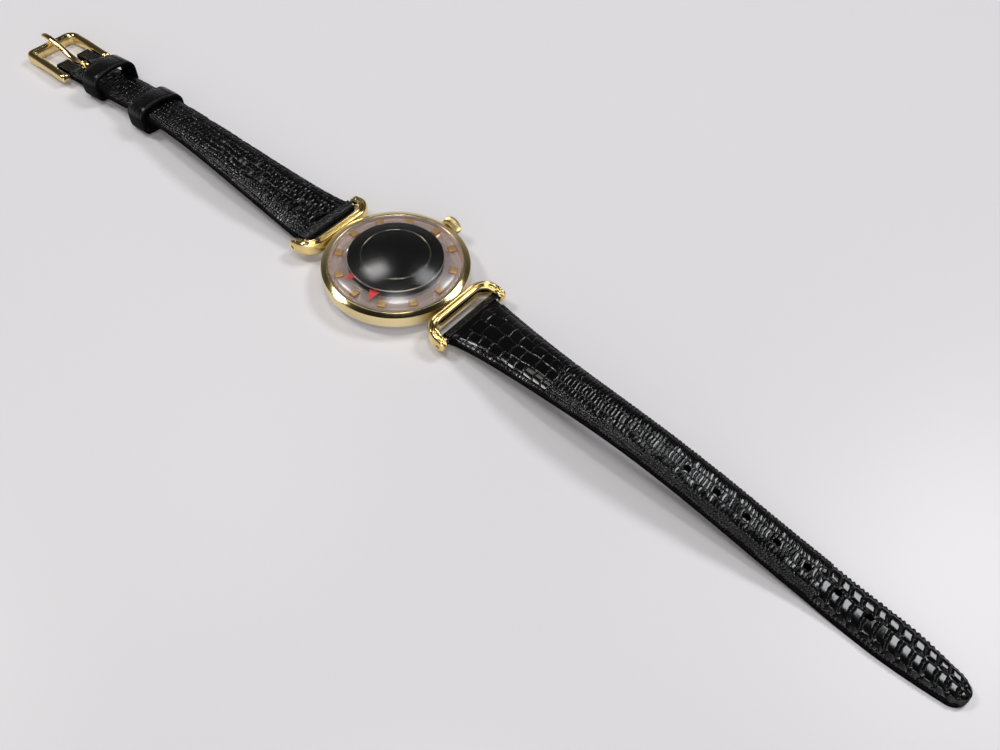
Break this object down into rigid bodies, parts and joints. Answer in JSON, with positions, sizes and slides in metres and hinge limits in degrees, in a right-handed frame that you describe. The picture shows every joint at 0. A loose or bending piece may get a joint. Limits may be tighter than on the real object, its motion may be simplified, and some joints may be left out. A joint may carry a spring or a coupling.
{
  "type": "skeleton wristwatch",
  "caption": "Slim gold wristwatch with a clear dial ring, a domed black centre cover, red arrow hands, a hand-wound movement in a round can and a padded black buckled strap.",
  "frame": {"origin": "centre of the case on the flat face of the case back", "axes": "+Z out of the crystal, +X from the case towards the pointed end of the strap (6 o'clock), -X towards the buckle (12 o'clock), +Y out along the crown (3 o'clock)"},
  "size_m": [0.246, 0.0328, 0.0088],
  "materials": {
    "polished_gold": "polished yellow gold plate",
    "polished_steel": "polished",
    "movement_brass": "satin",
    "ruby": "clear gloss",
    "clear_glass": "clear",
    "black_gloss": "high gloss",
    "black_rubber": "matt",
    "red_enamel": "gloss enamel",
    "black_leather": "glossy embossed",
    "lining_leather": "matt"
  },
  "bodies": {
    "case": {"case_ring": "polished_gold", "lug_12": "polished_gold", "lug_6": "polished_gold", "case_back": "polished_steel", "back_crystal": "clear_glass", "back_gasket": "black_rubber", "crystal": "clear_glass", "dial_ring": "clear_glass", "hour_blocks": "polished_gold", "cover_disc": "black_gloss", "cover_gilt_ring": "polished_gold", "movement_can": "polished_steel", "can_lid": "polished_steel", "casing_screws": "polished_steel", "crown_tube": "polished_gold", "main_plate": "movement_brass", "barrel_bridge": "movement_brass", "train_bridge": "movement_brass", "balance_cock": "movement_brass", "pallet_bridge": "movement_brass", "bridge_screws": "polished_steel", "jewels": "ruby", "click_spring": "polished_steel", "hairspring": "polished_steel", "spring_bar_12": "polished_steel", "spring_bar_6": "polished_steel"},
    "pointed_strap": {"strap_long": "black_leather", "lining_long": "lining_leather"},
    "buckle_strap": {"strap_short": "black_leather", "lining_short": "lining_leather", "keeper_fixed": "black_leather"},
    "sliding_keeper": {"keeper_free": "black_leather"},
    "buckle": {"buckle_frame": "polished_gold", "buckle_bar": "polished_gold"},
    "tongue": {"buckle_tongue": "polished_gold"},
    "crown_slider": {"crown_gasket": "black_rubber"},
    "crown_and_stem": {"crown": "polished_gold", "winding_stem": "polished_steel"},
    "pinion_for_winding": {"winding_pinion": "polished_steel"},
    "clutch": {"clutch_wheel": "polished_steel"},
    "lever_for_setting": {"setting_lever": "polished_steel"},
    "clutch_yoke": {"yoke": "polished_steel"},
    "crown_wheel_body": {"crown_wheel": "polished_steel"},
    "ratchet": {"ratchet_wheel": "polished_steel", "barrel_arbor": "polished_steel"},
    "click_body": {"click": "polished_steel"},
    "going_barrel": {"barrel": "movement_brass", "mainspring": "polished_steel"},
    "centre": {"centre_wheel": "movement_brass"},
    "third": {"third_wheel": "movement_brass"},
    "fourth": {"fourth_wheel": "movement_brass"},
    "escape": {"escape_wheel": "polished_steel"},
    "fork": {"pallet_fork": "polished_steel"},
    "balance": {"balance_wheel": "polished_gold"},
    "minute_display": {"minute_hand": "red_enamel", "cannon_pinion": "polished_steel"},
    "minute_work": {"minute_wheel": "movement_brass"},
    "hour_display": {"hour_hand": "red_enamel", "hour_wheel": "movement_brass"},
    "setting": {"setting_wheel": "polished_steel"}
  },
  "joints": [
    {"name": "pointed_strap_hinge", "type": "hinge", "parent": "case", "child": "pointed_strap", "pos_m": [0.02, 0, 0.0026], "axis": [0, -1, 0], "range_deg": [-60, 85]},
    {"name": "buckle_strap_hinge", "type": "hinge", "parent": "case", "child": "buckle_strap", "pos_m": [-0.02, 0, 0.0026], "axis": [0, 1, 0], "range_deg": [-60, 85]},
    {"name": "keeper_slide", "type": "slide", "parent": "buckle_strap", "child": "sliding_keeper", "axis": [-0.991, 0.0356, -0.1291], "range_m": [-0.008, 0.008]},
    {"name": "buckle_hinge", "type": "hinge", "parent": "buckle_strap", "child": "buckle", "pos_m": [-0.1015, -0.0006, 0.0019], "axis": [0, 1, 0], "range_deg": [-60, 55]},
    {"name": "tongue_hinge", "type": "hinge", "parent": "buckle", "child": "tongue", "pos_m": [-0.1015, -0.0006, 0.0019], "axis": [0, 1, 0], "range_deg": [0, 50]},
    {"name": "crown_pull", "type": "slide", "parent": "case", "child": "crown_slider", "axis": [0, 1, 0], "range_m": [0, 0.0008]},
    {"name": "crown_turn", "type": "hinge", "parent": "crown_slider", "child": "crown_and_stem", "pos_m": [0, 0, 0.0028], "axis": [0, 1, 0], "continuous": true},
    {"name": "winding_pinion_turn", "type": "hinge", "parent": "case", "child": "pinion_for_winding", "pos_m": [0, 0, 0.0028], "axis": [0, 1, 0], "continuous": true},
    {"name": "clutch_shift", "type": "slide", "parent": "crown_and_stem", "child": "clutch", "axis": [0, 1, 0], "range_m": [-0.00125, 0]},
    {"name": "setting_lever_turn", "type": "hinge", "parent": "case", "child": "lever_for_setting", "pos_m": [0.0024, 0.00795, 0.00375], "axis": [0, 0, 1], "range_deg": [-19, 0.1]},
    {"name": "yoke_turn", "type": "hinge", "parent": "case", "child": "clutch_yoke", "pos_m": [-0.0026, 0.0062, 0.00375], "axis": [0, 0, 1], "range_deg": [-10.5, 0.1]},
    {"name": "crown_wheel_turn", "type": "hinge", "parent": "case", "child": "crown_wheel_body", "pos_m": [0, 0.0048, 0.0015], "axis": [0, 0, 1], "continuous": true},
    {"name": "ratchet_turn", "type": "hinge", "parent": "case", "child": "ratchet", "pos_m": [-0.0041, 0.0017, 0.0015], "axis": [0, 0, 1], "continuous": true},
    {"name": "click_rock", "type": "hinge", "parent": "case", "child": "click_body", "pos_m": [-0.00746, -0.00065, 0.0015], "axis": [0, 0, 1], "range_deg": [0, 8]},
    {"name": "hands_turn", "type": "hinge", "parent": "case", "child": "minute_display", "pos_m": [0, 0, 0.005], "axis": [0, 0, -1], "continuous": true},
    {"name": "hour_hand_turn", "type": "hinge", "parent": "case", "child": "hour_display", "pos_m": [0, 0, 0.005], "axis": [0, 0, -1], "continuous": true},
    {"name": "minute_wheel_turn", "type": "hinge", "parent": "case", "child": "minute_work", "pos_m": [0.00211, 0.00135, 0.0038], "axis": [0, 0, -1], "continuous": true},
    {"name": "setting_wheel_turn", "type": "hinge", "parent": "case", "child": "setting", "pos_m": [0, 0.00305, 0.0038], "axis": [0, 0, -1], "continuous": true},
    {"name": "centre_wheel_turn", "type": "hinge", "parent": "case", "child": "centre", "pos_m": [0, 0, 0.002], "axis": [0, 0, -1], "continuous": true},
    {"name": "third_wheel_turn", "type": "hinge", "parent": "case", "child": "third", "pos_m": [0.00061, -0.00283, 0.0022], "axis": [0, 0, -1], "continuous": true},
    {"name": "fourth_wheel_turn", "type": "hinge", "parent": "case", "child": "fourth", "pos_m": [0.00301, -0.00196, 0.0025], "axis": [0, 0, -1], "continuous": true},
    {"name": "escape_wheel_turn", "type": "hinge", "parent": "case", "child": "escape", "pos_m": [0.00361, 0.00027, 0.0023], "axis": [0, 0, -1], "continuous": true},
    {"name": "barrel_turn", "type": "hinge", "parent": "case", "child": "going_barrel", "pos_m": [-0.0041, 0.0017, 0.0025], "axis": [0, 0, -1], "continuous": true},
    {"name": "pallet_rock", "type": "hinge", "parent": "case", "child": "fork", "pos_m": [0.00426, 0.00171, 0.0023], "axis": [0, 0, 1], "range_deg": [-5, 5]},
    {"name": "balance_swing", "type": "hinge", "parent": "case", "child": "balance", "pos_m": [0.005, 0.00335, 0.0017], "axis": [0, 0, 1], "range_deg": [-270, 270], "stiffness_Nm_per_rad": 0.000000023}
  ],
  "couplings": [
    {"joint": "winding_pinion_turn", "follows": "crown_turn", "ratio": 1},
    {"joint": "crown_wheel_turn", "follows": "crown_turn", "ratio": 0.48},
    {"joint": "ratchet_turn", "follows": "crown_turn", "ratio": -0.29268},
    {"joint": "clutch_shift", "follows": "crown_pull", "ratio": -1.5625},
    {"joint": "setting_lever_turn", "follows": "crown_pull", "rad_per_m": -412.87},
    {"joint": "yoke_turn", "follows": "crown_pull", "rad_per_m": -227.44},
    {"joint": "hour_hand_turn", "follows": "hands_turn", "ratio": 0.083333},
    {"joint": "minute_wheel_turn", "follows": "hands_turn", "ratio": -0.33333},
    {"joint": "setting_wheel_turn", "follows": "hands_turn", "ratio": 0.75},
    {"joint": "centre_wheel_turn", "follows": "hands_turn", "ratio": 1},
    {"joint": "third_wheel_turn", "follows": "hands_turn", "ratio": -8},
    {"joint": "fourth_wheel_turn", "follows": "hands_turn", "ratio": 60},
    {"joint": "escape_wheel_turn", "follows": "hands_turn", "ratio": -600},
    {"joint": "barrel_turn", "follows": "hands_turn", "ratio": -0.2}
  ]
}
